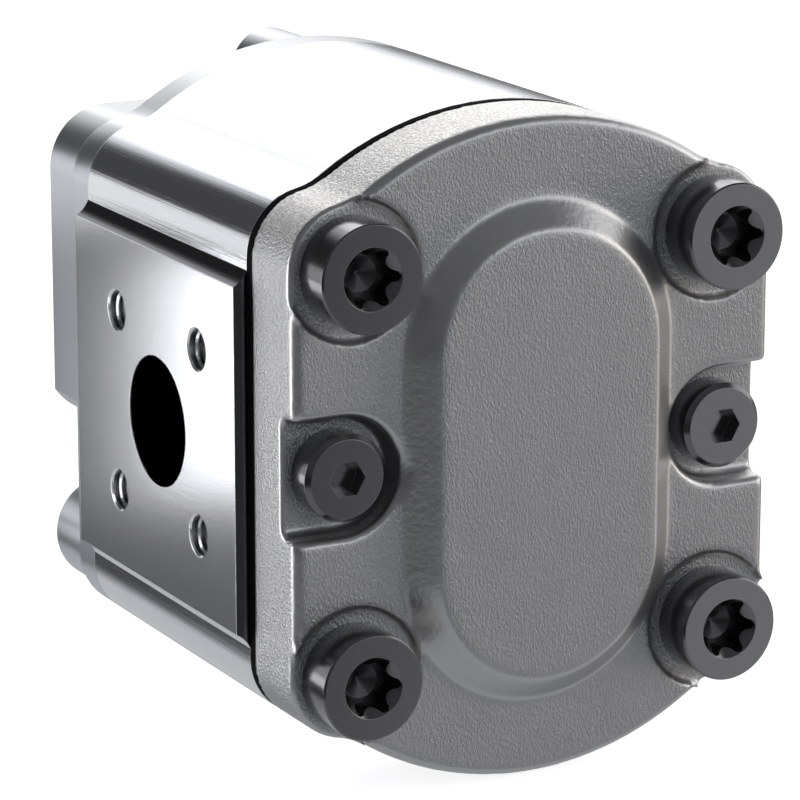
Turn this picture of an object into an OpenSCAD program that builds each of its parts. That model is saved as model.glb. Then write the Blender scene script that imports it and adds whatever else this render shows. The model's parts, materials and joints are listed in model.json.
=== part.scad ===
// External gear pump with a rear cover, a body with two port pads and a front cover.
// The origin is on the drive shaft's axis in the mounting face; the shaft points to +y.

/* [Which piece] */
// Piece to show

/* [Housing outline] */
// Half distance between the corner screws, both ways
bolt_half = 30; // [26:0.5:34]
// Radius of the round about each corner screw
corner_r = 9.7; // [8.5:0.1:12]
// Radius of the large top and bottom arcs about the middle of the body
big_r = 49.7; // [47:0.1:54]
// Radius of the hollow blend between the corner round and the large arc
blend_r = 10; // [4:0.5:16]
// Length of the body between its two end faces
body_len = 55.9; // [50:0.1:64]
// Distance from the rear end face of the body to the middle of the ports
port_y = 26.75; // [25:0.05:29]
// How far the port pads stand out of the sides
pad_h = 2.2; // [0.8:0.1:4]
// Half height of the port pads at their face
pad_half = 26; // [22:0.1:26.5]
// Run of the slope at the top and bottom of the pads
pad_slope = 2.3; // [1:0.1:3]
// Radius of the hollow in that slope
pad_hollow_r = 4.4; // [3:0.1:12]

/* [Ports] */
// Bore of the suction port, on the left
suction_d = 20; // [15:0.5:21]
// Bore of the pressure port, on the right
pressure_d = 15; // [10:0.5:18]
// Bolt circle of the suction port
suction_circle = 40; // [38:0.5:42]
// Bolt circle of the pressure port
pressure_circle = 35; // [32:0.5:38]
// Depth of the port bores, before they narrow on the way to the gears
port_depth = 21; // [14:0.5:22]
// Step of the radius where the port bores narrow
port_step = 1; // [0.5:0.1:3]
// Thread diameter of the tapped port holes
port_thread_d = 6; // [5:0.1:6.4]
// Depth of the tapped port holes
port_hole_depth = 13; // [8:0.5:14]
// Countersink diameter of the tapped port holes
port_sink_d = 6.6; // [6:0.1:8]

/* [Rear cover] */
// Thickness of the black gasket between the rear cover and the body
gasket_t = 1.3; // [0.5:0.1:2]
// Thickness of the rear cover without the raised island
rear_t = 13.5; // [12:0.1:16]
// Radius of the rounded rim of the rear cover
rim_r = 1.6; // [0.5:0.1:3]
// Height of the raised island
island_h = 3.9; // [1:0.1:6]
// Half distance between the centres of the island's two round ends
island_half = 15.5; // [12:0.1:16]
// Radius of the island's foot
island_foot_r = 22.3; // [19:0.1:22.4]
// Radius of the island's flat top
island_top_r = 18; // [12:0.1:18.5]
// Radius of the spot faces under the corner screws
spot_r = 10.5; // [9:0.1:10.8]
// Depth of the spot faces
spot_depth = 1.3; // [0.2:0.1:2.4]
// Distance of the side screws from the middle
side_screw_x = 31.5; // [31:0.1:34]
// Radius of the open recesses around the side screws
recess_r = 8.8; // [7.6:0.1:9]
// Rounding at the edge and at the floor of those recesses
recess_round = 1.2; // [0.4:0.1:1.6]
// Depth of the open recesses
recess_depth = 4.5; // [3:0.1:6]

/* [Front cover] */
// Thickness of the front cover's base, which has the body's outline
front_base_t = 5.8; // [5:0.1:8]
// Thickness of the front cover's mounting boss
boss_t = 12.05; // [11:0.05:14]
// Distance from the corner screws' line to the side of the mounting boss
boss_side = 8.3; // [7:0.1:8.8]
// Radius of the mounting boss about each upper corner
boss_corner_r = 9.5; // [8.5:0.1:9.6]
// Radius of the lower screw bosses
low_boss_r = 8.5; // [7.5:0.1:9.5]
// Radius of the mounting boss about each mounting hole
ear_r = 10.85; // [9:0.05:11.4]
// Radius of the small lobe above the shaft
lobe_r = 6.4; // [3:0.1:6.8]
// Radius of the mounting pilot
pilot_r = 25; // [23:0.1:26]
// Height of the mounting pilot over the mounting face
pilot_h = 7; // [6:0.1:9]
// Half distance between the two tapped mounting holes
mount_half = 30; // [29:0.1:31]
// Core hole of the tapped mounting holes
mount_core_d = 8.5; // [7:0.1:9]
// Depth of the tapped mounting holes
mount_depth = 14; // [10:0.5:15]
// Wire thickness of the pilot's o-ring
oring_d = 2.6; // [1.5:0.1:3]

/* [Gears] */
// Distance between the two gear axes
gear_centres = 34.5; // [34:0.1:35]
// How far the teeth stand out of the two circles that roll on each other
tooth_above = 2.57; // [2.2:0.01:2.7]
// How far the gaps between the teeth reach inside those circles
tooth_below = 3.15; // [2.8:0.05:3.7]
// Pressure angle of the teeth in degrees
pressure_angle = 27; // [24:0.5:28]
// Play between the meshing teeth
gear_play = 0.16; // [0.1:0.01:0.3]
// Width of the gears
gear_w = 19.2; // [12:0.1:22]
// Play between the gears and the bearing blocks on each side
side_play = 0.05; // [0.02:0.01:0.1]
// Play between the gears and the wall of the chamber
tip_play = 0.08; // [0.03:0.01:0.1]

/* [Bearings] */
// Diameter of the four journals
journal_d = 17.94; // [16:0.02:18.4]
// Play between a journal and its bush, on the radius
journal_play = 0.05; // [0.02:0.01:0.1]
// Wall thickness of the bearing bushes
bush_wall = 1.2; // [0.8:0.1:2]
// Play between the bearing blocks and the chamber wall
block_play = 0.05; // [0.02:0.01:0.1]
// How far the axial seals' outer edge reaches past the middle between the journals
axial_seal_neck = 0.35; // [0.2:0.05:0.6]
// Distance from the middle at which the axial seals stop on the suction side
axial_seal_stop = 7; // [5:0.5:8]
// Width of the rubber strand of the axial seals
axial_seal_w = 2; // [1:0.1:2.4]
// Width of the back-up strip inside the axial seals
backup_w = 1; // [0.6:0.1:1.4]
// Depth of the axial seal grooves
axial_seal_depth = 2.4; // [1.5:0.1:3]

/* [Drive shaft] */
// Large diameter of the shaft's taper
taper_d = 17; // [15:0.1:17.6]
// Distance of the taper's large end in front of the mounting face
taper_y = 10; // [8:0.5:14]
// Length of the taper, which narrows by one in five
taper_len = 17; // [14:0.5:24]
// Thread diameter at the end of the shaft
shaft_thread_d = 12; // [10:0.5:12.5]
// Length of the threaded end of the shaft
shaft_thread_len = 13.5; // [11.5:0.5:20]
// Width of the woodruff key
key_w = 4; // [3:0.5:5]
// Diameter of the woodruff key
key_d = 13; // [10:0.5:13.5]
// Outer radius of the shaft seal
seal_r = 15; // [14:0.1:16]
// Width of the shaft seal
seal_w = 7; // [5:0.1:7.5]

/* [Screws] */
// Head diameter of the corner screws
head_d = 16; // [14:0.1:17]
// Head height of the corner screws
head_h = 7; // [5:0.1:9]
// Thread diameter of the corner screws
bolt_d = 10; // [8:0.5:10.5]
// Length of the corner screws under the head
bolt_len = 80; // [78:1:82]
// Chamfer at the rim of the corner screws' heads
head_edge = 0.25; // [0.1:0.05:1]
// Diameter over the six points of the socket in the corner screws
lobe_socket_d = 8.95; // [7.4:0.05:9.4]
// Depth of that socket
lobe_socket_depth = 4.2; // [3:0.1:4.6]
// Head diameter of the side screws
side_head_d = 13; // [11:0.1:14]
// Head height of the side screws
side_head_h = 5; // [4:0.1:6]
// Thread diameter of the side screws
side_bolt_d = 8; // [6:0.5:8.5]
// Length of the side screws under the head
side_bolt_len = 20; // [16:1:21]
// Width over the flats of the hexagon socket in the side screws
hex_socket = 5; // [4:0.1:6]
// Diameter of the locating dowels
dowel_d = 6; // [4:0.5:7]
// Length of the locating dowels
dowel_len = 11; // [8:0.5:11.5]

/* [Hidden] */
$fn = 96;
pi = 3.14159265;
// Depths along the shaft, from the mounting face backwards
y_base = -boss_t;
y_front = y_base - front_base_t;
y_rear = y_front - body_len;
y_cover = y_rear - gasket_t;
y_face = y_cover - rear_t;
y_spot = y_face + spot_depth;
y_floor = y_face + recess_depth;
y_port = y_rear + port_y;
y_gear0 = y_port - gear_w / 2;
y_gear1 = y_port + gear_w / 2;
y_block0 = y_gear0 - side_play;
y_block1 = y_gear1 + side_play;
// Heights
zc = -gear_centres / 2;
z_idler = -gear_centres;
half_w = bolt_half + corner_r;
pad_x = half_w + pad_h;
tip_r = gear_centres / 2 + tooth_above;
root_r = gear_centres / 2 - tooth_below;
chamber_r = tip_r + tip_play;
block_r = chamber_r - block_play;
bush_r = journal_d / 2 + journal_play;
bush_out = bush_r + bush_wall;
axial_seal_out = gear_centres / 2 + axial_seal_neck;
axial_seal_r = axial_seal_out - backup_w - axial_seal_w;
// Centre of the hollow blend beside a corner
bl_l = bolt_half * sqrt(2);
bl_far = big_r + blend_r;
bl_near = corner_r + blend_r;
bl_p = (bl_far * bl_far - bl_near * bl_near + bl_l * bl_l) / (2 * bl_l);
bl_q = sqrt(max(0, bl_far * bl_far - bl_p * bl_p));
blend_x = (bl_p - bl_q) / sqrt(2);
blend_z = (bl_p + bl_q) / sqrt(2);
// Screws and holes
bolt_hole_r = bolt_d / 2 + 0.5;
bolt_end = y_spot + bolt_len;
bolt_core_r = bolt_d / 2;
side_hole_r = side_bolt_d / 2 + 0.5;
side_end = y_floor + side_bolt_len;
side_x = [-side_screw_x, side_screw_x];
dowel_x = side_screw_x + 1.5;
dowel_z = 15;
// Shaft
y_taper1 = taper_y + taper_len;
taper_r0 = taper_d / 2;
taper_r1 = taper_r0 - taper_len / 10;
thread_r = min(shaft_thread_d / 2, taper_r1 - 0.4);
y_shaft_end = y_taper1 + shaft_thread_len;
washer_t = shaft_thread_d / 6;
nut_h = shaft_thread_d * 2 / 3;
nut_flats = shaft_thread_d * 1.5;
nut_out = nut_flats / 2 / cos(30);
y_nut = y_taper1 + washer_t;
key_y = taper_y + taper_len / 2;
key_up = taper_r0 - taper_len / 20 + 1.6;
key_z = key_up - 5;
// Seal pocket in the pilot
ring_t = 1.2;
ring_groove = 0.7;
y_ring1 = pilot_h - 1.2;
y_ring0 = y_ring1 - ring_t;
y_seal1 = y_ring0;
y_seal0 = y_seal1 - seal_w;
relief_r = bush_out - 0.2;
oring_groove_r = pilot_r - oring_d;
oring_y = pilot_h / 2;
body_seal_in = chamber_r + 1.2;
body_seal_w = 1.8;
body_seal_t = 1.6;

// Frames and small helpers

// An outline drawn in x and z about the middle of the body, between two depths
module plate(y0, y1) {
  translate([0, y1, zc]) rotate([90, 0, 0]) linear_extrude(height = y1 - y0) children();
}

// The same about the drive shaft's axis
module shaft_plate(y0, y1) {
  translate([0, y1, 0]) rotate([90, 0, 0]) linear_extrude(height = y1 - y0) children();
}

module rod(y0, y1, r) {
  translate([0, y0, 0]) rotate([-90, 0, 0]) cylinder(h = y1 - y0, r = r);
}

module cone_rod(y0, y1, r0, r1) {
  translate([0, y0, 0]) rotate([-90, 0, 0]) cylinder(h = y1 - y0, r1 = r0, r2 = r1);
}

module at_corners() {
  for (sx = [-1, 1], sz = [-1, 1]) translate([sx * bolt_half, 0, zc + sz * bolt_half]) children();
}

module turned() {
  rotate([-90, 0, 0]) rotate_extrude() children();
}

// Housing outline

// Points on a round stretch, both ends included
function arc(c, r, a0, a1, n) =
  [for (i = [0:n]) c + r * [cos(a0 + (a1 - a0) * i / n), sin(a0 + (a1 - a0) * i / n)]];

// One quarter of the outline, from the side up to the top, drawn in by g
corner_a = atan2(blend_z - bolt_half, blend_x - bolt_half);
blend_a = atan2(blend_z, blend_x);
function quarter(g) = concat(
  arc([bolt_half, bolt_half], corner_r - g, 0, corner_a, 9),
  arc([blend_x, blend_z], blend_r + g, corner_a + 180 - 1, blend_a + 181, 3),
  arc([0, 0], big_r - g, blend_a, 90, 9));

function turned_over(points, sx, sz) = [for (p = points) [p[0] * sx, p[1] * sz]];
function back(points) = [for (i = [len(points) - 1:-1:1]) points[i - 1]];

// The whole outline, with the side stretches s added where they are given
function outline_points(g, s = []) = concat(
  s, quarter(g), turned_over(back(quarter(g)), -1, 1),
  turned_over(s, -1, -1), turned_over(quarter(g), -1, -1), turned_over(back(quarter(g)), 1, -1));

// The side with its pad, which runs out in a hollow slope at the top and bottom
pad_run = norm([pad_h, pad_slope]);
pad_turn = atan2(pad_slope, pad_h);
pad_open = asin(min(1, pad_run / 2 / pad_hollow_r));
pad_c = [half_w + pad_h / 2, pad_half + pad_slope / 2]
  + pad_hollow_r * cos(pad_open) * [sin(pad_turn), cos(pad_turn)];
pad_top = concat(
  arc(pad_c, pad_hollow_r, 270 - pad_turn + pad_open, 270 - pad_turn - pad_open, 6));
pad_points = concat(turned_over([for (i = [len(pad_top) - 1:-1:0]) pad_top[i]], 1, -1), pad_top);

module outline(g) {
  polygon(outline_points(g));
}

module eight(r) {
  for (s = [-1, 1]) translate([0, s * gear_centres / 2]) circle(r = r);
}

// Half section of a plate with a rounded rear edge, x outwards and y along the shaft
module rim_section(r) {
  difference() {
    translate([0, y_face]) square([r, rear_t + 1]);
    difference() {
      translate([r - rim_r, y_face - 1]) square([rim_r + 1, rim_r + 1]);
      translate([r - rim_r, y_face + rim_r]) circle(r = rim_r);
    }
  }
}

// The rear cover's plate: the large arcs and the sides have a rounded rim, which ends at the spot faces
module rimmed_plate() {
  intersection() {
    plate(y_face, y_cover) outline(0);
    union() {
      intersection() {
        translate([0, 0, zc]) turned() rim_section(big_r - 0.1);
        translate([0, 0, zc - big_r]) linear_extrude(height = 2 * big_r) {
          rim_section(half_w - 0.1);
          mirror([1, 0, 0]) rim_section(half_w - 0.1);
        }
      }
      at_corners() rod(y_face - 1, y_cover + 1, spot_r + 0.4);
    }
  }
}

// Half section of the raised island with a hollow foot and a rounded shoulder
isl_a = atan2(island_h, island_foot_r - island_top_r);
isl_rf = 1.2;
isl_rt = 1.4;
isl_df = isl_rf * tan(isl_a / 2);
isl_dt = isl_rt * tan(isl_a / 2);
isl_top = y_face - island_h;
isl_foot_arc = [for (i = [1:4]) [
  island_foot_r + isl_df - isl_rf * sin(isl_a * i / 4),
  y_face - isl_rf + isl_rf * cos(isl_a * i / 4)]];
isl_top_arc = [for (i = [0:4]) [
  island_top_r - isl_dt + isl_rt * sin(isl_a * (4 - i) / 4),
  isl_top + isl_rt - isl_rt * cos(isl_a * (4 - i) / 4)]];

module island_section() {
  polygon(concat(
    [[0, y_face + 1], [island_foot_r + isl_df, y_face + 1], [island_foot_r + isl_df, y_face + 0.02]],
    isl_foot_arc, isl_top_arc, [[0, isl_top]]));
}

module island() {
  for (s = [-1, 1]) translate([0, 0, zc + s * island_half]) turned() island_section();
  translate([0, 0, zc - island_half]) linear_extrude(height = 2 * island_half) {
    island_section();
    mirror([1, 0, 0]) island_section();
  }
}

// Half section of the recess round a side screw, rounded at its floor and at its edge
recess_floor_arc = [for (i = [0:4]) [
  recess_r - recess_round + recess_round * sin(22.5 * i),
  y_floor - recess_round + recess_round * cos(22.5 * i)]];
recess_edge_arc = [for (i = [0:4]) [
  recess_r + recess_round - recess_round * cos(22.5 * i),
  y_face + recess_round - recess_round * sin(22.5 * i)]];

module recess_section() {
  polygon(concat(
    [[0, y_floor]], recess_floor_arc, recess_edge_arc,
    [[recess_r + recess_round, y_face - rear_t], [0, y_face - rear_t]]));
}

// The recess is open towards the side
module recess() {
  translate([side_screw_x, 0, zc]) turned() recess_section();
  translate([side_screw_x, 0, zc]) rotate([0, 90, 0]) linear_extrude(height = 2 * corner_r) {
    recess_section();
    mirror([1, 0, 0]) recess_section();
  }
}

// Sockets

module six_lobes(d) {
  lobe = d * 0.085;
  bay = d * 0.212;
  difference() {
    circle(r = d / 2 - lobe * 0.35);
    for (i = [0:5]) rotate(30 + 60 * i) translate([d * 0.361 + bay, 0]) circle(r = bay);
  }
  for (i = [0:5]) rotate(60 * i) translate([d / 2 - lobe, 0]) circle(r = lobe);
}

// Gears

function inv(a) = tan(a) * 180 / pi - a;
pitch_r = gear_centres / 2;
base_r = pitch_r * cos(pressure_angle);
half_pitch = 90 / 12 - gear_play / 2 / pitch_r * 180 / pi;
base_half = half_pitch + inv(pressure_angle);
function flank_half(r) = base_half - inv(acos(min(1, base_r / r)));
flank_n = 6;
flank_rs = [for (i = [0:flank_n]) base_r + (tip_r - base_r) * pow(i / flank_n, 1.25)];
root_half = base_half + 0.6;

function polar(r, a) = [r * sin(a), r * cos(a)];

module gear_outline() {
  points = [for (t = [0:11]) for (k = [0:2 * flank_n + 3])
    let (a = t * 30)
    k == 0 ? polar(root_r, a - root_half)
      : k <= flank_n + 1 ? polar(flank_rs[k - 1], a - flank_half(flank_rs[k - 1]))
      : k <= 2 * flank_n + 2
        ? polar(flank_rs[2 * flank_n + 2 - k], a + flank_half(flank_rs[2 * flank_n + 2 - k]))
      : polar(root_r, a + root_half)];
  polygon(points);
}

module drive_gear() {
  color([0.55, 0.56, 0.58]) difference() {
    union() {
      shaft_plate(y_gear0, y_gear1) gear_outline();
      rod(y_rear, y_gear0 + 1, journal_d / 2);
      rod(y_gear1 - 1, taper_y, journal_d / 2);
      cone_rod(taper_y, y_taper1, taper_r0, taper_r1);
      rod(y_taper1 - 1, y_shaft_end - 1, thread_r);
      cone_rod(y_shaft_end - 1, y_shaft_end, thread_r, thread_r - 1);
    }
    key_body(0);
    rod(y_shaft_end - 3, y_shaft_end + 1, 1.6);
  }
}

module idler_gear() {
  color([0.52, 0.53, 0.55]) translate([0, 0, z_idler]) {
    shaft_plate(y_gear0, y_gear1) rotate(15) gear_outline();
    rod(y_rear, y_gear0 + 1, journal_d / 2);
    rod(y_gear1 - 1, y_front - 0.6, journal_d / 2);
  }
}

module key_body(g) {
  intersection() {
    translate([-key_w / 2, key_y, key_z]) rotate([0, 90, 0]) cylinder(h = key_w, r = key_d / 2);
    translate([-key_w, key_y - key_d, -key_d]) cube([2 * key_w, 2 * key_d, key_up + key_d - g]);
  }
}

module woodruff_key() {
  color([0.35, 0.36, 0.38]) key_body(0);
}

module lock_washer() {
  color([0.5, 0.5, 0.5]) difference() {
    rod(y_taper1, y_taper1 + washer_t, thread_r * 1.85);
    rod(y_taper1 - 1, y_taper1 + washer_t + 1, thread_r);
  }
}

module shaft_nut() {
  color([0.45, 0.46, 0.48]) difference() {
    intersection() {
      translate([0, y_nut, 0]) rotate([-90, 0, 0])
        cylinder(h = nut_h, r = nut_out, $fn = 6);
      union() {
        cone_rod(y_nut, y_nut + nut_h / 8, nut_out * 0.88, nut_out + 0.01);
        rod(y_nut + nut_h / 8, y_nut + nut_h * 7 / 8, nut_out + 0.01);
        cone_rod(y_nut + nut_h * 7 / 8, y_nut + nut_h, nut_out + 0.01, nut_out * 0.88);
      }
    }
    rod(y_taper1, y_nut + nut_h + 1, thread_r);
  }
}

// Bearings and seals

module three_shape(r_in, r_out) {
  difference() {
    eight(r_out);
    eight(r_in);
    translate([-3 * r_out, -2 * gear_centres]) square([3 * r_out - axial_seal_stop, 4 * gear_centres]);
  }
}

module bearing_block(y0, y1, y_seal0, y_seal1, y_gearside) {
  difference() {
    plate(y0, y1) eight(block_r);
    for (s = [-1, 1]) translate([0, 0, zc + s * gear_centres / 2]) rod(y0 - 1, y1 + 1, bush_out);
    plate(y_seal0, y_seal1) three_shape(axial_seal_r, axial_seal_out);
    for (s = [-1, 1]) translate([s * 9, y_gearside, zc]) cube([6, 3, 9], center = true);
  }
}

module front_bearing_block() {
  color([0.72, 0.73, 0.74])
    bearing_block(y_block1, y_front, y_front - axial_seal_depth, y_front + 1, y_block1);
}

module rear_bearing_block() {
  color([0.72, 0.73, 0.74])
    bearing_block(y_cover, y_block0, y_cover - 1, y_cover + axial_seal_depth, y_block0);
}

module bush(y0, y1) {
  difference() {
    rod(y0, y1, bush_out);
    rod(y0 - 1, y1 + 1, bush_r);
    translate([-bush_out - 1, y0 - 1, -0.2]) cube([bush_out, y1 - y0 + 2, 0.4]);
  }
}

module front_drive_bush() {
  color([0.7, 0.55, 0.35]) bush(y_block1 + 0.5, y_front);
}

module rear_drive_bush() {
  color([0.7, 0.55, 0.35]) bush(y_cover, y_block0 - 0.5);
}

module front_idler_bush() {
  color([0.7, 0.55, 0.35]) translate([0, 0, z_idler]) bush(y_block1 + 0.5, y_front);
}

module rear_idler_bush() {
  color([0.7, 0.55, 0.35]) translate([0, 0, z_idler]) bush(y_cover, y_block0 - 0.5);
}

module axial_seal(y0, y1) {
  plate(y0, y1) three_shape(axial_seal_r + backup_w, axial_seal_out);
}

module backup(y0, y1) {
  plate(y0, y1) three_shape(axial_seal_r, axial_seal_r + backup_w);
}

module front_axial_seal() {
  color([0.1, 0.1, 0.1]) axial_seal(y_front - axial_seal_depth, y_front);
}

module rear_axial_seal() {
  color([0.1, 0.1, 0.1]) axial_seal(y_cover, y_cover + axial_seal_depth);
}

module front_backup_strips() {
  color([0.92, 0.92, 0.88]) backup(y_front - axial_seal_depth, y_front);
}

module rear_backup_strips() {
  color([0.92, 0.92, 0.88]) backup(y_cover, y_cover + axial_seal_depth);
}

module body_seal_outline() {
  difference() {
    eight(body_seal_in + body_seal_w);
    eight(body_seal_in);
  }
}

module front_body_seal() {
  color([0.08, 0.08, 0.08]) plate(y_front - body_seal_t, y_front) body_seal_outline();
}

module shaft_seal() {
  color([0.12, 0.1, 0.1]) difference() {
    rod(y_seal0, y_seal1, seal_r);
    rod(y_seal0 - 1, y_seal1 + 1, bush_r);
    translate([0, y_seal0 - 1, 0]) turned() translate([bush_r + 1.2, 0]) square([seal_r - bush_r - 3, 3]);
  }
}

module seal_retaining_ring() {
  color([0.3, 0.31, 0.32]) difference() {
    rod(y_ring0, y_ring1, seal_r + ring_groove);
    rod(y_ring0 - 1, y_ring1 + 1, seal_r - 1.8);
    translate([-2.5, y_ring0 - 1, -seal_r - 2]) cube([5, ring_t + 2, seal_r]);
  }
}

module pilot_o_ring() {
  color([0.08, 0.08, 0.08]) translate([0, oring_y, 0]) turned()
    translate([oring_groove_r + oring_d / 2, 0]) circle(r = oring_d / 2);
}

module rear_gasket() {
  color([0.06, 0.06, 0.07]) difference() {
    plate(y_cover, y_rear) outline(0.1);
    plate(y_cover - 1, y_rear + 1) eight(chamber_r);
    at_corners() rod(y_cover - 1, y_rear + 1, bolt_hole_r);
    for (x = side_x) translate([x, 0, zc]) rod(y_cover - 1, y_rear + 1, side_hole_r);
    at_dowels() rod(y_cover - 1, y_rear + 1, dowel_d / 2);
  }
}

// Housing

module at_dowels() {
  for (s = [-1, 1]) translate([s * dowel_x, 0, zc - s * dowel_z]) children();
}

module dowels(y) {
  at_dowels() {
    rod(y - dowel_len / 2 + 0.5, y + dowel_len / 2 - 0.5, dowel_d / 2);
    cone_rod(y - dowel_len / 2, y - dowel_len / 2 + 0.5, dowel_d / 2 - 0.5, dowel_d / 2);
    cone_rod(y + dowel_len / 2 - 0.5, y + dowel_len / 2, dowel_d / 2, dowel_d / 2 - 0.5);
  }
}

module front_dowels() {
  color([0.6, 0.6, 0.62]) dowels(y_front);
}

module rear_dowels() {
  color([0.6, 0.6, 0.62]) dowels(y_rear - gasket_t / 2);
}

module port(side, bore, circle_d) {
  c = circle_d / 2 / sqrt(2);
  translate([side * (pad_x + 1), y_port, zc]) rotate([0, -side * 90, 0]) {
    cylinder(h = port_depth + 1, r = bore / 2);
    cylinder(h = pad_x + 1, r = bore / 2 - port_step);
  }
  for (sy = [-1, 1], sz = [-1, 1])
    translate([side * (pad_x + 1), y_port + sy * c, zc + sz * c]) rotate([0, -side * 90, 0]) {
      cylinder(h = port_hole_depth + 1, r = port_thread_d / 2);
      cylinder(h = 1 + (port_sink_d - port_thread_d) / 2, r1 = port_sink_d / 2 + 1, r2 = port_thread_d / 2);
    }
}

module pump_body() {
  color([0.82, 0.83, 0.85]) difference() {
    plate(y_rear, y_front) polygon(outline_points(0, pad_points));
    plate(y_rear - 1, y_front + 1) eight(chamber_r);
    port(-1, suction_d, suction_circle);
    port(1, pressure_d, pressure_circle);
    at_corners() rod(y_rear - 1, y_front + 1, bolt_hole_r);
    for (x = side_x) translate([x, 0, zc]) rod(y_rear - 1, side_end + 2, side_bolt_d / 2);
    plate(y_front - body_seal_t, y_front + 1) body_seal_outline();
    at_dowels() {
      rod(y_rear - 1, y_rear + dowel_len / 2, dowel_d / 2);
      rod(y_front - dowel_len / 2 - 0.5, y_front + 1, dowel_d / 2);
    }
  }
}

module rear_cover() {
  color([0.56, 0.57, 0.59]) difference() {
    union() {
      rimmed_plate();
      island();
    }
    at_corners() {
      rod(y_face - rear_t, y_spot, spot_r);
      rod(y_face - 1, y_cover + 1, bolt_hole_r);
    }
    for (m = [0, 1]) mirror([m, 0, 0]) {
      recess();
      translate([side_screw_x, 0, zc]) rod(y_floor - 1, y_cover + 1, side_hole_r);
    }
    at_dowels() rod(y_cover - dowel_len / 2 - 1, y_cover + 1, dowel_d / 2);
  }
}

module boss_outline() {
  boss_half_w = bolt_half + boss_side;
  lobe_top = big_r - 0.3;
  c = boss_half_w - boss_corner_r;
  for (s = [-1, 1]) translate([s * c, bolt_half]) circle(r = boss_corner_r);
  translate([-c, 0]) square([2 * c, bolt_half + boss_corner_r]);
  translate([-boss_half_w, 0]) square([2 * boss_half_w, bolt_half]);
  intersection() {
    for (s = [-1, 1]) translate([s * (mount_half - 0.7), 0]) circle(r = ear_r);
    square([2 * boss_half_w, 4 * ear_r], center = true);
  }
  for (s = [-1, 1]) translate([s * bolt_half, -bolt_half]) circle(r = low_boss_r);
  for (s = [-1, 1]) rotate(s * 45) square([bolt_d * 1.2, bl_l * 2], center = true);
  eight(pilot_r + 2);
  translate([0, lobe_top - lobe_r]) circle(r = lobe_r);
  translate([-lobe_r, bolt_half]) square([2 * lobe_r, lobe_top - lobe_r - bolt_half]);
}

module front_cover() {
  color([0.78, 0.79, 0.81]) difference() {
    union() {
      plate(y_front, y_base) outline(0);
      plate(y_base - 1, 0) boss_outline();
      rod(-1, pilot_h - 0.8, pilot_r);
      cone_rod(pilot_h - 0.8, pilot_h, pilot_r, pilot_r - 0.8);
    }
    rod(y_front - 1, pilot_h + 1, relief_r);
    rod(y_seal0, pilot_h + 1, seal_r);
    rod(y_ring0, y_ring1, seal_r + ring_groove);
    translate([0, oring_y - oring_d * 0.6, 0]) turned()
      translate([oring_groove_r, 0]) square([10, oring_d * 1.2]);
    at_corners() rod(y_front - 1, bolt_end + 2, bolt_core_r);
    for (s = [-1, 1]) translate([s * mount_half, 0, zc]) {
      rod(-mount_depth, 1, mount_core_d / 2);
      cone_rod(-1, 0.5, mount_core_d / 2, mount_core_d / 2 + 1.5);
    }
    at_dowels() rod(y_front - 1, y_front + dowel_len / 2 + 0.5, dowel_d / 2);
  }
}

// Screws

// The socket has six lobes under a conical mouth, and a conical bottom
module corner_screw(sx, sz) {
  y_head = y_spot - head_h;
  inner_r = lobe_socket_d * 0.361;
  color([0.13, 0.13, 0.14]) translate([sx * bolt_half, 0, zc + sz * bolt_half]) difference() {
    union() {
      cone_rod(y_head, y_head + head_edge, head_d / 2 - head_edge, head_d / 2);
      rod(y_head + head_edge, y_spot, head_d / 2);
      rod(y_spot - 1, bolt_end - 1, bolt_d / 2);
      cone_rod(bolt_end - 1, bolt_end, bolt_d / 2, bolt_d / 2 - 1);
    }
    shaft_plate(y_head - 1, y_head + lobe_socket_depth) six_lobes(lobe_socket_d);
    cone_rod(y_head - 1, y_head + lobe_socket_d / 2 - inner_r + 0.4, lobe_socket_d / 2 + 1.15, inner_r - 0.25);
    cone_rod(y_head + lobe_socket_depth - 0.3, y_head + lobe_socket_depth + 1.2, inner_r - 0.05, 0.3);
  }
}

module corner_screw_1() {
  corner_screw(-1, 1);
}

module corner_screw_2() {
  corner_screw(1, 1);
}

module corner_screw_3() {
  corner_screw(-1, -1);
}

module corner_screw_4() {
  corner_screw(1, -1);
}

module side_screw(s) {
  color([0.15, 0.15, 0.16]) translate([s * side_screw_x, 0, zc]) difference() {
    union() {
      cone_rod(y_floor - side_head_h, y_floor - side_head_h + 0.7, side_head_d / 2 - 0.7, side_head_d / 2);
      rod(y_floor - side_head_h + 0.7, y_floor, side_head_d / 2);
      rod(y_floor - 1, side_end - 1, side_bolt_d / 2);
      cone_rod(side_end - 1, side_end, side_bolt_d / 2, side_bolt_d / 2 - 1);
    }
    translate([0, y_floor - side_head_h - 1, 0]) rotate([-90, 0, 0])
      cylinder(h = 3.6, r = hex_socket / 2 / cos(30), $fn = 6);
  }
}

module side_screw_left() {
  side_screw(-1);
}

module side_screw_right() {
  side_screw(1);
}

pump_body();
rear_cover();
front_cover();
rear_gasket();
drive_gear();
idler_gear();
front_bearing_block();
rear_bearing_block();
front_drive_bush();
rear_drive_bush();
front_idler_bush();
rear_idler_bush();
front_axial_seal();
rear_axial_seal();
front_backup_strips();
rear_backup_strips();
front_body_seal();
shaft_seal();
seal_retaining_ring();
pilot_o_ring();
woodruff_key();
lock_washer();
shaft_nut();
corner_screw_1();
corner_screw_2();
corner_screw_3();
corner_screw_4();
side_screw_left();
side_screw_right();
front_dowels();
rear_dowels();
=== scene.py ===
import json
import math

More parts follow.
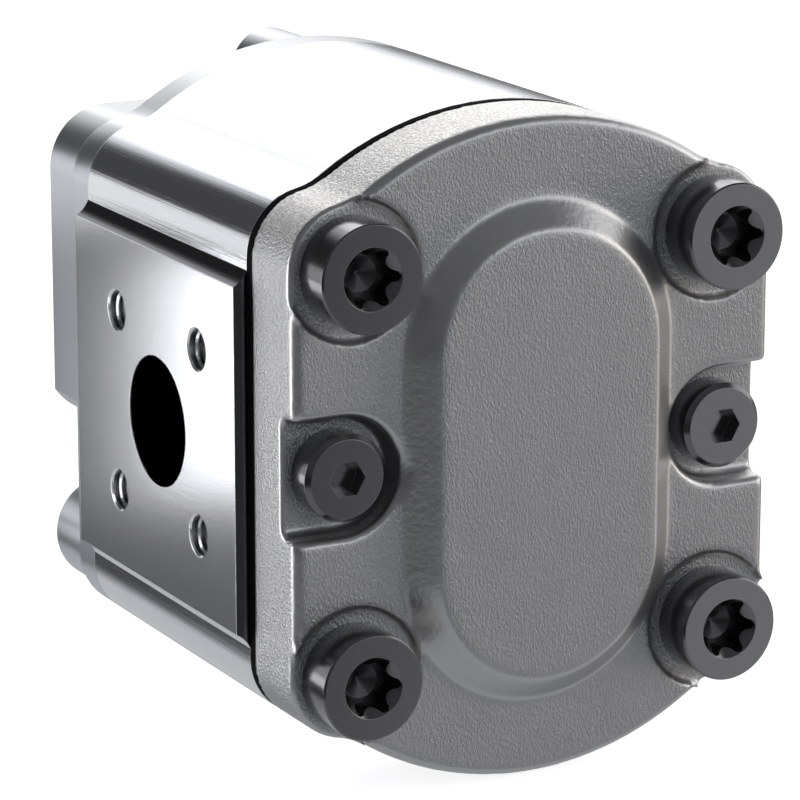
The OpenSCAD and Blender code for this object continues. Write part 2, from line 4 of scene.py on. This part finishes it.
import bmesh
import bpy
import numpy as np
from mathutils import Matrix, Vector


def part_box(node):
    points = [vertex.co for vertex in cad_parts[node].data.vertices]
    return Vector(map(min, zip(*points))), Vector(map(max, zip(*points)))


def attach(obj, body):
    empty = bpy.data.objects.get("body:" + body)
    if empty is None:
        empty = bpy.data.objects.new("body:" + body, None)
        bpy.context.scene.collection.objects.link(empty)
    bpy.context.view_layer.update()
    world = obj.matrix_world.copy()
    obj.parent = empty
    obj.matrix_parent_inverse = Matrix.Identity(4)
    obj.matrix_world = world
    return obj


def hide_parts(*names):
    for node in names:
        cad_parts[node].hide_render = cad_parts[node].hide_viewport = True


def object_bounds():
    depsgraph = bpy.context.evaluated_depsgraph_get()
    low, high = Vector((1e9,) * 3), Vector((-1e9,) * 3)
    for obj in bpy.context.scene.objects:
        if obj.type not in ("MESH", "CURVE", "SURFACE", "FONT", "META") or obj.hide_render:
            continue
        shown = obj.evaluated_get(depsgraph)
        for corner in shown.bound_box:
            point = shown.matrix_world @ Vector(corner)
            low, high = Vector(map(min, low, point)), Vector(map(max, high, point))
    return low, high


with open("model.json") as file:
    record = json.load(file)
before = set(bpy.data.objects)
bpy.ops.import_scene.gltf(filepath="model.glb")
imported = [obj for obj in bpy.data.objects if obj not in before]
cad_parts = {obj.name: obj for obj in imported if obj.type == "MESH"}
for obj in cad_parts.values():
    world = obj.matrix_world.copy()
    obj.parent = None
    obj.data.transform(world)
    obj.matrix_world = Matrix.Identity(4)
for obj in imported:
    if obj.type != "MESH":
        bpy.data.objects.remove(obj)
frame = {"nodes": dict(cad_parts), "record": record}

cad_box = [list(p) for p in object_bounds()]

MM = 0.001

# ---------------------------------------------------------------- sizes read from the frame
record = frame["record"]
mounts = {m["name"]: m for m in record["mounts"]}
body_lo, body_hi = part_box("pump_body")
cover_lo, cover_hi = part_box("rear_cover")
screw_lo, screw_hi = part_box("corner_screw_2")        # at the upper right
PAD_X = body_hi[0]                                   # the pads' faces
SEAM_Y = cover_hi[1]                                 # the cast cover's machined side
Z_MID = (body_lo[2] + body_hi[2]) / 2
FLOOR_Z = min(cad_box[0][2], body_lo[2])
PORT_Y = mounts["suction_port"]["pos_m"][1]
PORT_R = mounts["suction_port"]["dims"]["r_mm"] * MM
HEAD_Y = screw_lo[1]                                 # the corner screws' outer ends
SCREW_X = (screw_lo[0] + screw_hi[0]) / 2
SCREW_Z = (screw_lo[2] + screw_hi[2]) / 2 - Z_MID

# ---------------------------------------------------------------- sizes in the solids that the frame doesn't name
M6_R = 3.0 * MM               # the screw holes' walls, before their threads
SHAFT_R = 6.0 * MM            # the shaft's end, before its thread
SOCKET_R = 4.8 * MM           # round a corner screw's six lobes
SOCKET_SHADE_DEPTH = 2.5 * MM        # the depth at which the painted shade in a socket is at its darkest
PAD_HEIGHT = 2.15 * MM        # how far a pad stands out of the body's side
PORT_REACH = 23.5 * MM        # takes in a pad's port and its four screw holes, whose walls get painted shade
UPPER_SLOPE_Z = 26.05 * MM    # where the hollow slope over a pad begins, from Z_MID

# ---------------------------------------------------------------- camera, as in the photograph
CAM_AT = Vector((-293.5, -599.2, 143.3)) * MM
CAM_TURN = 27.932             # degrees, from +Y to the right
CAM_DOWN = 14.554             # degrees
FOCAL_PX = 4186.5
PHOTO_PX = 800
SENSOR = 36                   # mm

cam_data = bpy.data.cameras.new("camera")
cam_data.sensor_width = SENSOR
cam_data.lens = FOCAL_PX * SENSOR / PHOTO_PX
cam_data.clip_start = 0.05
cam = bpy.data.objects.new("camera", cam_data)
cam.location = CAM_AT
cam.rotation_euler = (math.radians(90 - CAM_DOWN), 0, math.radians(-CAM_TURN))
bpy.context.collection.objects.link(cam)
bpy.context.scene.camera = cam
bpy.context.scene.view_settings.view_transform = "Standard"


# ---------------------------------------------------------------- shader helpers
class Net:
    """A material or world node tree with short calls; each value is a number, a colour or a socket."""

    def __init__(self, tree):
        self.tree = tree
        tree.nodes.clear()

    def put(self, socket, value):
        if isinstance(value, bpy.types.NodeSocket):
            self.tree.links.new(value, socket)
        else:
            socket.default_value = value

    def add(self, kind, ins=None, **props):
        node = self.tree.nodes.new(kind)
        for name, value in props.items():
            setattr(node, name, value)
        for name, value in (ins or {}).items():
            self.put(node.inputs[name], value)
        return node

    def math(self, op, *values, clamp=False):
        node = self.add("ShaderNodeMath", dict(enumerate(values)), operation=op, use_clamp=clamp)
        return node.outputs[0]

    def plus(self, a, b, clamp=False):
        return self.math("ADD", a, b, clamp=clamp)

    def minus(self, a, b):
        return self.math("SUBTRACT", a, b)

    def times(self, a, *others):
        for b in others:
            a = self.math("MULTIPLY", a, b)
        return a

    def rest(self, a):
        """What is left of 1."""
        return self.minus(1.0, a)

    def under(self, a, limit):
        return self.math("LESS_THAN", a, limit)

    def over(self, a, limit):
        return self.math("GREATER_THAN", a, limit)

    def distance(self, a, b):
        return self.math("SQRT", self.plus(self.times(a, a), self.times(b, b)))

    def smooth(self, value, start, end):
        """0 at start and 1 at end, which may be the smaller one."""
        node = self.add("ShaderNodeMapRange", {"Value": value, "From Min": start, "From Max": end},
                        interpolation_type="SMOOTHSTEP")
        return node.outputs[0]

    def mix(self, share, a, b):
        """Colour a where share is 0, and b where it is 1."""
        node = self.add("ShaderNodeMix", data_type="RGBA")
        for k, value in ((0, share), (6, a), (7, b)):
            self.put(node.inputs[k], (*value, 1) if isinstance(value, (tuple, list)) else value)
        return node.outputs[2]

    def axes(self, vec):
        return self.add("ShaderNodeSeparateXYZ", {"Vector": vec}).outputs

    def normal_axes(self):
        return self.axes(self.add("ShaderNodeNewGeometry").outputs["Normal"])

    def noise(self, vec, scale, detail=3, rough=0.5):
        """Noise of one scale, or of a scale for each axis."""
        if isinstance(scale, tuple):
            vec, scale = self.add("ShaderNodeMapping", {"Vector": vec, "Scale": scale}).outputs[0], 1.0
        ins = {"Vector": vec, "Scale": scale, "Detail": detail, "Roughness": rough}
        return self.add("ShaderNodeTexNoise", ins).outputs[0]

    def bump(self, height, dist, normal, strength=1.0):
        ins = {"Height": height, "Distance": dist, "Strength": strength, "Normal": normal}
        return self.add("ShaderNodeBump", ins).outputs[0]

    def rounded(self, radius):
        return self.add("ShaderNodeBevel", {"Radius": radius}, samples=6).outputs[0]


def material(name):
    mat = bpy.data.materials.new(name)
    mat.use_nodes = True
    n = Net(mat.node_tree)
    return mat, n, n.add("ShaderNodeTexCoord").outputs["Object"]


def finish(n, **ins):
    shader = n.add("ShaderNodeBsdfPrincipled", ins)
    n.add("ShaderNodeOutputMaterial", {"Surface": shader.outputs[0]})


# ---------------------------------------------------------------- materials
EVEN = (900, 900, 900)        # a grain alike in all directions


def metal(name, colour, rough, spread=0.05, grain=EVEN, grain_h=0.02 * MM, edge=0.3 * MM, tint=0.06, shaded_top=None):
    """A bare metal whose grain has a scale per axis, with an optional painted shade: its upward faces take a colour
    of their own.
    """
    mat, n, pos = material(name)
    fine = n.noise(pos, grain, 4, 0.6)
    broad = n.noise(pos, 60)
    roughness = n.plus(n.times(n.minus(fine, 0.5), spread * 2), rough)
    roughness = n.plus(roughness, n.times(n.minus(broad, 0.5), spread), clamp=True)
    col = n.mix(broad, [c * (1 - tint) for c in colour], colour)
    if shaded_top is not None:
        # painted shade: faces turned upward are given their own colour
        up = n.normal_axes()[2]
        col = n.mix(n.smooth(up, 0.45, 0.9), col, shaded_top)
    finish(n, **{"Base Color": col, "Metallic": 1.0, "Roughness": roughness,
                 "Normal": n.bump(fine, grain_h, n.rounded(edge))})
    return mat


def screw_material():
    """Black oxide with a thin oily sheen, and painted shade inside the corner screws' sockets, darker with depth.
    """
    mat, n, pos = material("black_oxide")
    x, y, z = n.axes(pos)
    dx = n.minus(n.math("ABSOLUTE", x), SCREW_X)
    dz = n.minus(n.math("ABSOLUTE", n.minus(z, Z_MID)), SCREW_Z)
    # painted shade: a socket's colour grows darker from its mouth downward
    deep_shade = n.smooth(y, HEAD_Y + 0.3 * MM, HEAD_Y + SOCKET_SHADE_DEPTH)
    socket = n.times(deep_shade, n.under(n.distance(dx, dz), SOCKET_R))
    grain = n.noise(pos, 900, 4, 0.6)
    rough = n.plus(0.17, n.plus(n.times(grain, 0.06), n.times(socket, 0.25)))
    finish(n, **{"Base Color": n.mix(socket, (0.15, 0.15, 0.156), (0.06, 0.06, 0.063)),
                 "Metallic": 1.0, "Roughness": rough, "Coat Weight": 0.35, "Coat Roughness": 0.12,
                 "Normal": n.bump(grain, 0.002 * MM, n.rounded(0.15 * MM))})
    return mat


def soft_material(name, colour, rough=0.6, shine=0.4):
    """Rubber or plastic."""
    mat, n, pos = material(name)
    grain = n.noise(pos, 2500)
    finish(n, **{"Base Color": n.mix(grain, [c * 0.8 for c in colour], colour), "Roughness": rough,
                 "Specular IOR Level": shine,
                 "Normal": n.bump(grain, 0.02 * MM, n.rounded(0.1 * MM), strength=0.6)})
    return mat


def body_material():
    """Extruded aluminium with lines along the shaft; the two pads are milled, and painted shade darkens the ports,
    their screw holes and the hollow over each pad.
    """
    mat, n, pos = material("extruded_aluminium")
    x, y, z = n.axes(pos)
    dy = n.minus(y, PORT_Y)
    dz = n.minus(z, Z_MID)
    side = n.math("ABSOLUTE", x)
    pad = n.over(side, PAD_X - 0.2 * MM)
    off_pad = n.rest(pad)

    lines = n.noise(pos, (2600, 8, 2600), 4, 0.72)
    broad = n.noise(pos, (520, 3, 520), 2, 0.5)
    mill = n.noise(pos, (300, 120, 2400), 4, 0.6)
    height = n.plus(n.times(n.plus(lines, broad), off_pad), n.times(mill, 0.1, pad))
    normal = n.bump(height, 0.02 * MM, n.rounded(0.15 * MM))
    normal = n.bump(n.noise(pos, 4000, 2), 0.004 * MM, normal)
    rough = n.plus(n.times(pad, 0.12), n.plus(n.times(lines, off_pad, 0.1), 0.06))
    col = n.mix(mill, (0.78, 0.79, 0.83), (0.86, 0.87, 0.91))

    # painted shade: the walls of the port and of its screw holes are darkened, the port's own wall the most
    off = n.distance(dy, dz)
    deep_shade = n.times(n.smooth(side, PAD_X - 0.2 * MM, PAD_X - 1.2 * MM), n.under(off, PORT_REACH))
    walls = n.mix(n.under(off, PORT_R + 1.0 * MM), (0.3, 0.3, 0.31), (0.03, 0.03, 0.032))
    col = n.mix(deep_shade, col, walls)

    # painted shade: the upper hollow slope over each pad is darkened, and the end of each pad is darker the same
    # way
    step = n.times(n.over(side, PAD_X - PAD_HEIGHT), n.under(side, PAD_X - 0.1 * MM))
    skin_and_hollow_shade = n.math("MAXIMUM", n.over(dz, UPPER_SLOPE_Z), n.under(y, body_lo[1] + 0.05 * MM))
    col = n.mix(n.times(step, skin_and_hollow_shade), col, (0.16, 0.16, 0.17))
    finish(n, **{"Base Color": col, "Metallic": 1.0, "Roughness": rough, "Normal": normal})
    return mat


def cast_material():
    """Sand-cast surface: upright streaks on the rear faces, specks on the side walls, little on the slopes between;
    painted light makes the slopes, the walls and the upward faces lighter.
    """
    mat, n, pos = material("sand_cast")
    _, ny, nz = n.normal_axes()
    tilt = n.math("ABSOLUTE", ny)
    face = n.smooth(tilt, 0.9, 0.98)
    wall = n.rest(n.smooth(tilt, 0.05, 0.25))
    slope = n.rest(n.plus(face, wall))

    streaks = n.noise(pos, (3000, 3000, 1700), 3, 0.65)
    specks = n.noise(pos, 2300, 3, 0.6)
    skin_and_hollow_shade = n.noise(pos, 1100, 2, 0.5)
    grain = n.plus(n.times(streaks, face), n.times(specks, 1.3, wall))
    grain = n.plus(grain, n.times(n.plus(n.times(skin_and_hollow_shade, 0.25), 0.2), slope))

    broad = n.noise(pos, 140)
    col = n.mix(broad, (0.305, 0.312, 0.328), (0.35, 0.357, 0.373))
    # painted light: the slopes between the rear faces and the walls are coloured lighter
    col = n.mix(n.times(slope, 0.5), col, (0.58, 0.58, 0.59))
    # painted light: the walls that don't face down are lighter, more so where the specks stand high, and the upward
    # faces the lightest, in warm cream
    not_below = n.rest(n.smooth(nz, -0.1, -0.5))
    light = n.times(wall, not_below, n.plus(0.4, n.times(n.smooth(specks, 0.36, 0.64), 0.6)))
    col = n.mix(light, col, n.mix(n.smooth(nz, 0.3, 0.8), (0.48, 0.48, 0.484), (0.98, 0.96, 0.93)))
    unpitted = n.smooth(n.noise(pos, 520, 2), 0.16, 0.22)
    col = n.mix(unpitted, (0.16, 0.16, 0.165), col)
    finish(n, **{"Base Color": col, "Metallic": 0.92, "Roughness": n.plus(0.3, n.times(broad, 0.1)),
                 "Normal": n.bump(grain, 0.21 * MM, n.rounded(0.4 * MM))})
    return mat


MATS = {
    "body": body_material(),
    "cast": cast_material(),
    "thread": metal("cut_thread", (0.6, 0.61, 0.64), 0.24, spread=0.03, grain_h=0.01 * MM, edge=0.1 * MM),
    # painted shade: the satin aluminium's upward faces are coloured darker
    "cover": metal("satin_aluminium", (0.6, 0.62, 0.67), 0.28, spread=0.01, grain=(700, 700, 700),
                   grain_h=0.0005 * MM, edge=0.15 * MM, tint=0.02, shaded_top=(0.46, 0.465, 0.48)),
    "screw": screw_material(),
    "steel": metal("ground_steel", (0.56, 0.57, 0.6), 0.24, grain=(1600, 1600, 200)),
    "block": metal("turned_aluminium", (0.74, 0.75, 0.77), 0.3, spread=0.06),
    "bronze": metal("bush_bronze", (0.62, 0.44, 0.26), 0.34, spread=0.06),
    "zinc": metal("zinc_plate", (0.68, 0.68, 0.66), 0.3, spread=0.08),
    "spring": metal("spring_steel", (0.2, 0.2, 0.21), 0.33, spread=0.06),
    "black": soft_material("gasket_black", (0.006, 0.006, 0.0065), rough=0.85, shine=0.06),
    "rubber": soft_material("seal_rubber", (0.02, 0.02, 0.02), rough=0.45),
    "white": soft_material("backup_plastic", (0.82, 0.82, 0.78), rough=0.4),
}
KIND = {
    "pump_body": "body", "rear_cover": "cast", "front_cover": "cover", "rear_gasket": "black",
    "drive_gear": "steel", "idler_gear": "steel", "woodruff_key": "spring", "seal_retaining_ring": "spring",
    "lock_washer": "zinc", "shaft_nut": "zinc",
}
KIND_BY_WORD = {
    "screw": "screw", "block": "block", "bush": "bronze", "backup": "white", "seal": "rubber", "o_ring": "rubber",
    "dowels": "steel",
}


def kind_of(node):
    """The material of a node: by its name, or else by the first word found in it."""
    return KIND.get(node) or next(kind for word, kind in KIND_BY_WORD.items() if word in node)


for name, node in frame["nodes"].items():
    for s in node.material_slots:
        s.material = MATS[kind_of(name)]
    if not node.material_slots:
        node.data.materials.append(MATS[kind_of(name)])


# ---------------------------------------------------------------- pieces of the scene's own
SHARP_FROM = math.radians(20)     # edges sharper than this stay edges
SKIN_VOXEL = 0.5 * MM             # the cast skin's mesh
SKIN_PASSES = 4                   # of smoothing over the cast skin
SKIN_PULL = 0.5                   # how far each pass moves a point to the middle of its neighbours
SEAM_KEPT = 0.6 * MM              # the skin stays as it is this close to the seam
SEAM_FADE = 1.2 * MM              # and is free this much farther on
RIDGE_STEPS = 28                  # points in a thread's turn
RIDGE_FOOT = 0.36                 # half a thread ridge's width at its foot, in pitches
RIDGE_TOP = 0.08                  # and at its top
RIDGE_SINK = 0.02 * MM            # how deep its foot stands in the wall


def new_piece(name, mesh, kind, body):
    mesh.materials.clear()
    mesh.materials.append(MATS[kind])
    o = bpy.data.objects.new(name, mesh)
    bpy.context.collection.objects.link(o)
    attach(o, body)
    return o


def joined_copy(node):
    """A copy of a node's mesh, its faces joined again and only its real edges kept sharp."""
    bm = bmesh.new()
    bm.from_mesh(frame["nodes"][node].data)
    bmesh.ops.remove_doubles(bm, verts=bm.verts, dist=1e-6)
    for e in bm.edges:
        e.smooth = len(e.link_faces) == 2 and e.calc_face_angle() < SHARP_FROM
    for f in bm.faces:
        f.smooth = True
    mesh = bpy.data.meshes.new(node + "_joined")
    bm.to_mesh(mesh)
    bm.free()
    own = mesh.attributes.get("custom_normal")
    if own is not None:
        mesh.attributes.remove(own)
    return mesh


def round_shaded(node):
    """The node itself, with its rounds shaded round instead of in flats."""
    body = next(b for b, names in record["behaviour"]["bodies"].items() if node in names)
    o = new_piece("round_" + node, joined_copy(node), kind_of(node), body)
    mod = o.modifiers.new("flats stay flat", "WEIGHTED_NORMAL")
    mod.keep_sharp, mod.weight = True, 100
    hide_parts(node)


def voxel_copy(node):
    """A node's mesh in small voxels of even size."""
    tmp = bpy.data.objects.new("voxel_tmp", joined_copy(node))
    bpy.context.collection.objects.link(tmp)
    mod = tmp.modifiers.new("voxels", "REMESH")
    mod.mode, mod.voxel_size, mod.adaptivity = "VOXEL", SKIN_VOXEL, 0.0
    deps = bpy.context.evaluated_depsgraph_get()
    mesh = bpy.data.meshes.new_from_object(tmp.evaluated_get(deps))
    bpy.data.objects.remove(tmp)
    return mesh


def cast_skin():
    """The rear cover with the soft edges of a casting, away from its machined seam."""
    mesh = voxel_copy("rear_cover")
    count = len(mesh.vertices)
    co = np.empty(count * 3)
    mesh.vertices.foreach_get("co", co)
    co = co.reshape(-1, 3)
    ends = np.empty(len(mesh.edges) * 2, dtype=np.int64)
    mesh.edges.foreach_get("vertices", ends)
    i, j = ends.reshape(-1, 2).T
    near = np.bincount(i, minlength=count) + np.bincount(j, minlength=count)
    free = np.clip((SEAM_Y - SEAM_KEPT - co[:, 1]) / SEAM_FADE, 0, 1)[:, None]
    for _ in range(SKIN_PASSES):
        sums = [np.bincount(i, co[j, k], count) + np.bincount(j, co[i, k], count) for k in range(3)]
        co += (np.stack(sums, 1) / near[:, None] - co) * free * SKIN_PULL
    co = np.clip(co, cover_lo, cover_hi)
    mesh.vertices.foreach_set("co", co.ravel())
    mesh.update()
    mesh.shade_smooth()
    o = new_piece("cast_rear_cover", mesh, "cast", "housing")
    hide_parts("rear_cover")


def thread(name, at, way, root, crest, pitch, length, body, kind):
    """One turned ridge along an axis: inward where crest is under root, outward where it is over."""
    way = Vector(way).normalized()
    u = way.orthogonal().normalized()
    v = way.cross(u)
    turns = length / pitch
    foot_r = root + (RIDGE_SINK if crest < root else -RIDGE_SINK)
    bm = bmesh.new()
    rings = []
    for k in range(int(RIDGE_STEPS * turns) + 1):
        t = k / RIDGE_STEPS
        grow = max(0.0, min(1.0, t * 2, (turns - t) * 2))      # runs in and out over half a turn
        top_r = root + (crest - root) * grow
        angle = 2 * math.pi * t
        out = u * math.cos(angle) + v * math.sin(angle)
        profile = ((-RIDGE_FOOT, foot_r), (-RIDGE_TOP, top_r), (RIDGE_TOP, top_r), (RIDGE_FOOT, foot_r))
        mid = Vector(at) + way * (t * pitch)
        rings.append([bm.verts.new(mid + way * (w * pitch) + out * r) for w, r in profile])
    for a, b in zip(rings, rings[1:]):
        for q in range(4):
            bm.faces.new((a[q], a[(q + 1) % 4], b[(q + 1) % 4], b[q]))
    bm.faces.new(rings[0])
    bm.faces.new(rings[-1])
    bmesh.ops.recalc_face_normals(bm, faces=bm.faces)
    mesh = bpy.data.meshes.new(name)
    bm.to_mesh(mesh)
    bm.free()
    return new_piece(name, mesh, kind, body)


cast_skin()
for node in ("pump_body", "front_cover", "drive_gear", "shaft_nut", "corner_screw_1", "corner_screw_2",
             "corner_screw_3", "corner_screw_4", "side_screw_left", "side_screw_right"):
    round_shaded(node)

# the threads in the ports' screw holes
for side in ("suction", "pressure"):
    bolts = mounts[side + "_port_bolts"]
    bx, by, bz = bolts["pos_m"]
    half_y, half_z = (bolts["dims"][k] * MM / 2 for k in ("spacing_x_mm", "spacing_y_mm"))
    inward = -bolts["axis"][0]
    for k, (sy, sz) in enumerate(((-1, -1), (-1, 1), (1, -1), (1, 1))):
        mouth = (bx + inward * 0.4 * MM, by + sy * half_y, bz + sz * half_z)
        thread(f"{side}_thread_{k + 1}", mouth, (inward, 0, 0),
               root=M6_R, crest=M6_R - 0.38 * MM, pitch=1.0 * MM, length=12 * MM,
               body="housing", kind="thread")

# the shaft's own thread, where it stands out of the nut
thread("shaft_thread", (0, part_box("shaft_nut")[1][1] + 0.3 * MM, 0), (0, 1, 0),
       root=SHAFT_R, crest=SHAFT_R + 0.2 * MM, pitch=1.5 * MM, length=2.1 * MM,
       body="drive", kind="steel")


# ---------------------------------------------------------------- light
PUMP_MIDDLE = (0, -0.045, -0.017)


def softbox(name, az, el, dist, w, h, level, colour=(1, 1, 1), aim=PUMP_MIDDLE):
    """An area light of a given brightness in direction az (0 is +Y, 90 is +X) and el, in degrees."""
    light = bpy.data.lights.new(name, "AREA")
    light.shape = "RECTANGLE"
    light.size, light.size_y, light.color = w, h, colour
    light.energy = level * math.pi * w * h
    o = bpy.data.objects.new(name, light)
    a, e = math.radians(az), math.radians(el)
    way = Vector((math.sin(a) * math.cos(e), math.cos(a) * math.cos(e), math.sin(e)))
    o.location = Vector(aim) + way * dist
    o.rotation_euler = way.to_track_quat("Z", "Y").to_euler()
    o.visible_camera = False
    bpy.context.collection.objects.link(o)


def make_world():
    """A studio round the pump, drawn by direction: az 0 is +Y and 90 is +X, z is the sine of the height."""
    world = bpy.data.worlds.new("studio")
    world.use_nodes = True
    bpy.context.scene.world = world
    n = Net(world.node_tree)
    x, y, z = n.axes(n.add("ShaderNodeTexCoord").outputs["Generated"])
    az = n.times(n.math("ARCTAN2", x, y), 180 / math.pi)

    def within(value, lo, hi, soft):
        return n.times(n.smooth(value, lo - soft, lo + soft), n.rest(n.smooth(value, hi - soft, hi + soft)))

    def box(az0, az1, az_soft, z0, z1, z_soft, level):
        return n.times(within(az, az0, az1, az_soft), within(z, z0, z1, z_soft), level)

    cool = 0.06                                                     # everywhere
    for part in (
        box(-5, 200, 9, 0.04, 0.62, 0.1, 1.3),                      # a tall white wall at the back right
        box(-181, -75, 15, 0.0, 0.75, 0.15, 0.10),                  # left and behind the camera
        box(140, 150.5, 3, -0.5, 0.2, 0.15, 1.0),                   # behind the camera on the right
        box(25, 96, 8, -0.45, -0.05, 0.1, 0.2),                     # a low grey card on the far right
        n.times(n.rest(n.smooth(z, -0.42, -0.32)), 0.48),           # the ground
        n.times(n.smooth(z, 0.6, 0.95), 0.15),                      # overhead
    ):
        cool = n.plus(part, cool)
    warm = box(98, 122, 4, -0.6, 0.4, 0.15, 0.6)
    both = n.add("ShaderNodeAddShader", {
        0: n.add("ShaderNodeBackground", {"Color": (0.97, 0.98, 1.0, 1), "Strength": cool}).outputs[0],
        1: n.add("ShaderNodeBackground", {"Color": (1.0, 0.9, 0.76, 1), "Strength": warm}).outputs[0]})
    n.add("ShaderNodeOutputWorld", {"Surface": both.outputs[0]})


make_world()
softbox("top_back", 17, 28, 0.8, 0.28, 0.2, 1.2)
softbox("top_far", 45, 40, 0.8, 0.4, 0.4, 1.3, (1.0, 0.96, 0.9))
softbox("side_wash", -58, -2, 0.7, 0.3, 0.4, 2.5)
softbox("cast_wash", -58, -4, 0.1, 0.05, 0.1, 2.2, aim=(-0.0397, -0.087, -0.017))
softbox("warm_right", 112, 8, 0.7, 0.18, 0.7, 1.8, (1.0, 0.9, 0.76))
# two cards beside the left pad: its mirror image of them fades from white to grey
softbox("pad_card_low", -25, 0, 0.198, 0.11, 0.05, 2.1, aim=(-0.1044, -0.0486, -0.066))
softbox("pad_card_high", -25, 0, 0.198, 0.20, 0.063, 0.8, aim=(-0.0702, -0.0327, -0.0025))


# ---------------------------------------------------------------- stage
STAGE_R = 6.0                     # metres; a view's camera sees no farther than about 9


def stage_piece(name, bm, glow, matt, height):
    """A white sheet or dome for the camera alone: mirror-like faces see the studio round it instead."""
    mat = bpy.data.materials.new(name)
    mat.use_nodes = True
    n = Net(mat.node_tree)
    lit = n.add("ShaderNodeEmission", {"Color": (1, 1, 1, 1), "Strength": glow}).outputs[0]
    dull = n.add("ShaderNodeBsdfDiffuse", {"Color": (matt, matt, matt, 1)}).outputs[0]
    n.add("ShaderNodeOutputMaterial", {"Surface": n.add("ShaderNodeAddShader", {0: lit, 1: dull}).outputs[0]})
    mesh = bpy.data.meshes.new(name)
    bm.to_mesh(mesh)
    bm.free()
    mesh.materials.append(mat)
    o = bpy.data.objects.new(name, mesh)
    o.location = (0, 0, height)
    o.visible_glossy = o.visible_diffuse = o.visible_shadow = False
    bpy.context.collection.objects.link(o)


sheet = bmesh.new()
bmesh.ops.create_circle(sheet, cap_ends=True, segments=96, radius=STAGE_R)
stage_piece("floor", sheet, 0.75, 0.8, FLOOR_Z - 0.2 * MM)
dome = bmesh.new()
bmesh.ops.create_uvsphere(dome, u_segments=96, v_segments=48, radius=STAGE_R)
bmesh.ops.delete(dome, geom=[v for v in dome.verts if v.co.z < -0.1], context="VERTS")
stage_piece("backdrop", dome, 0.97, 0.0, FLOOR_Z)
